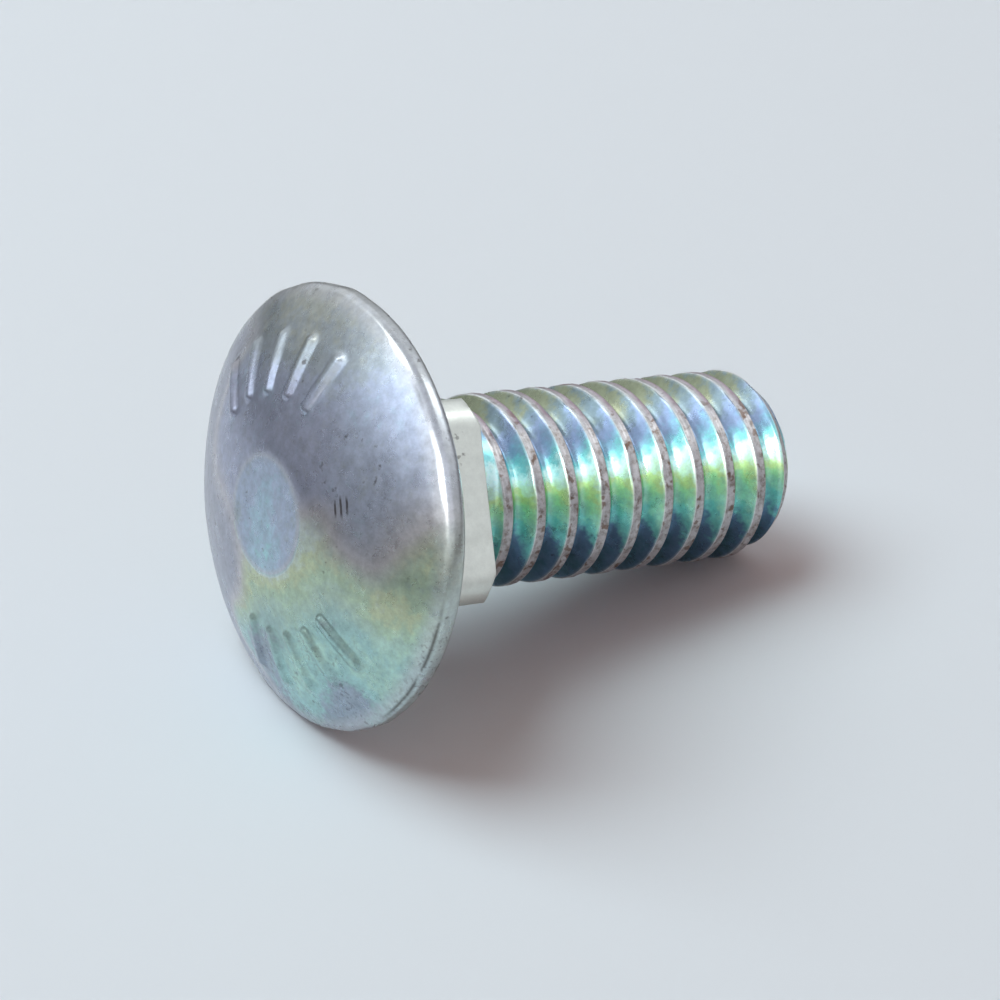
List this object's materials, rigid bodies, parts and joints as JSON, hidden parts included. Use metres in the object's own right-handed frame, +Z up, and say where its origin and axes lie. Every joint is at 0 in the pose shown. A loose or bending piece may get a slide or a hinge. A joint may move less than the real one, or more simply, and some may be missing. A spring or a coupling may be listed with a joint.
{
  "type": "carriage bolt",
  "caption": "Carriage bolt with a low domed head, a square neck and a full-length coarse thread; it lies on its head rim and thread end.",
  "frame": {"origin": "middle of the bounding box on the surface that the bolt lies on", "axes": "+Z up; the bolt's axis lies in the XZ plane, head towards -X, and dips about 14.3 degrees towards the threaded end at +X"},
  "size_m": [0.0192, 0.0142, 0.0137],
  "materials": {
    "zinc": "bright zinc plate with a blue passivate film"
  },
  "bodies": {
    "root": {"carriage_bolt": "zinc"}
  },
  "joints": []
}
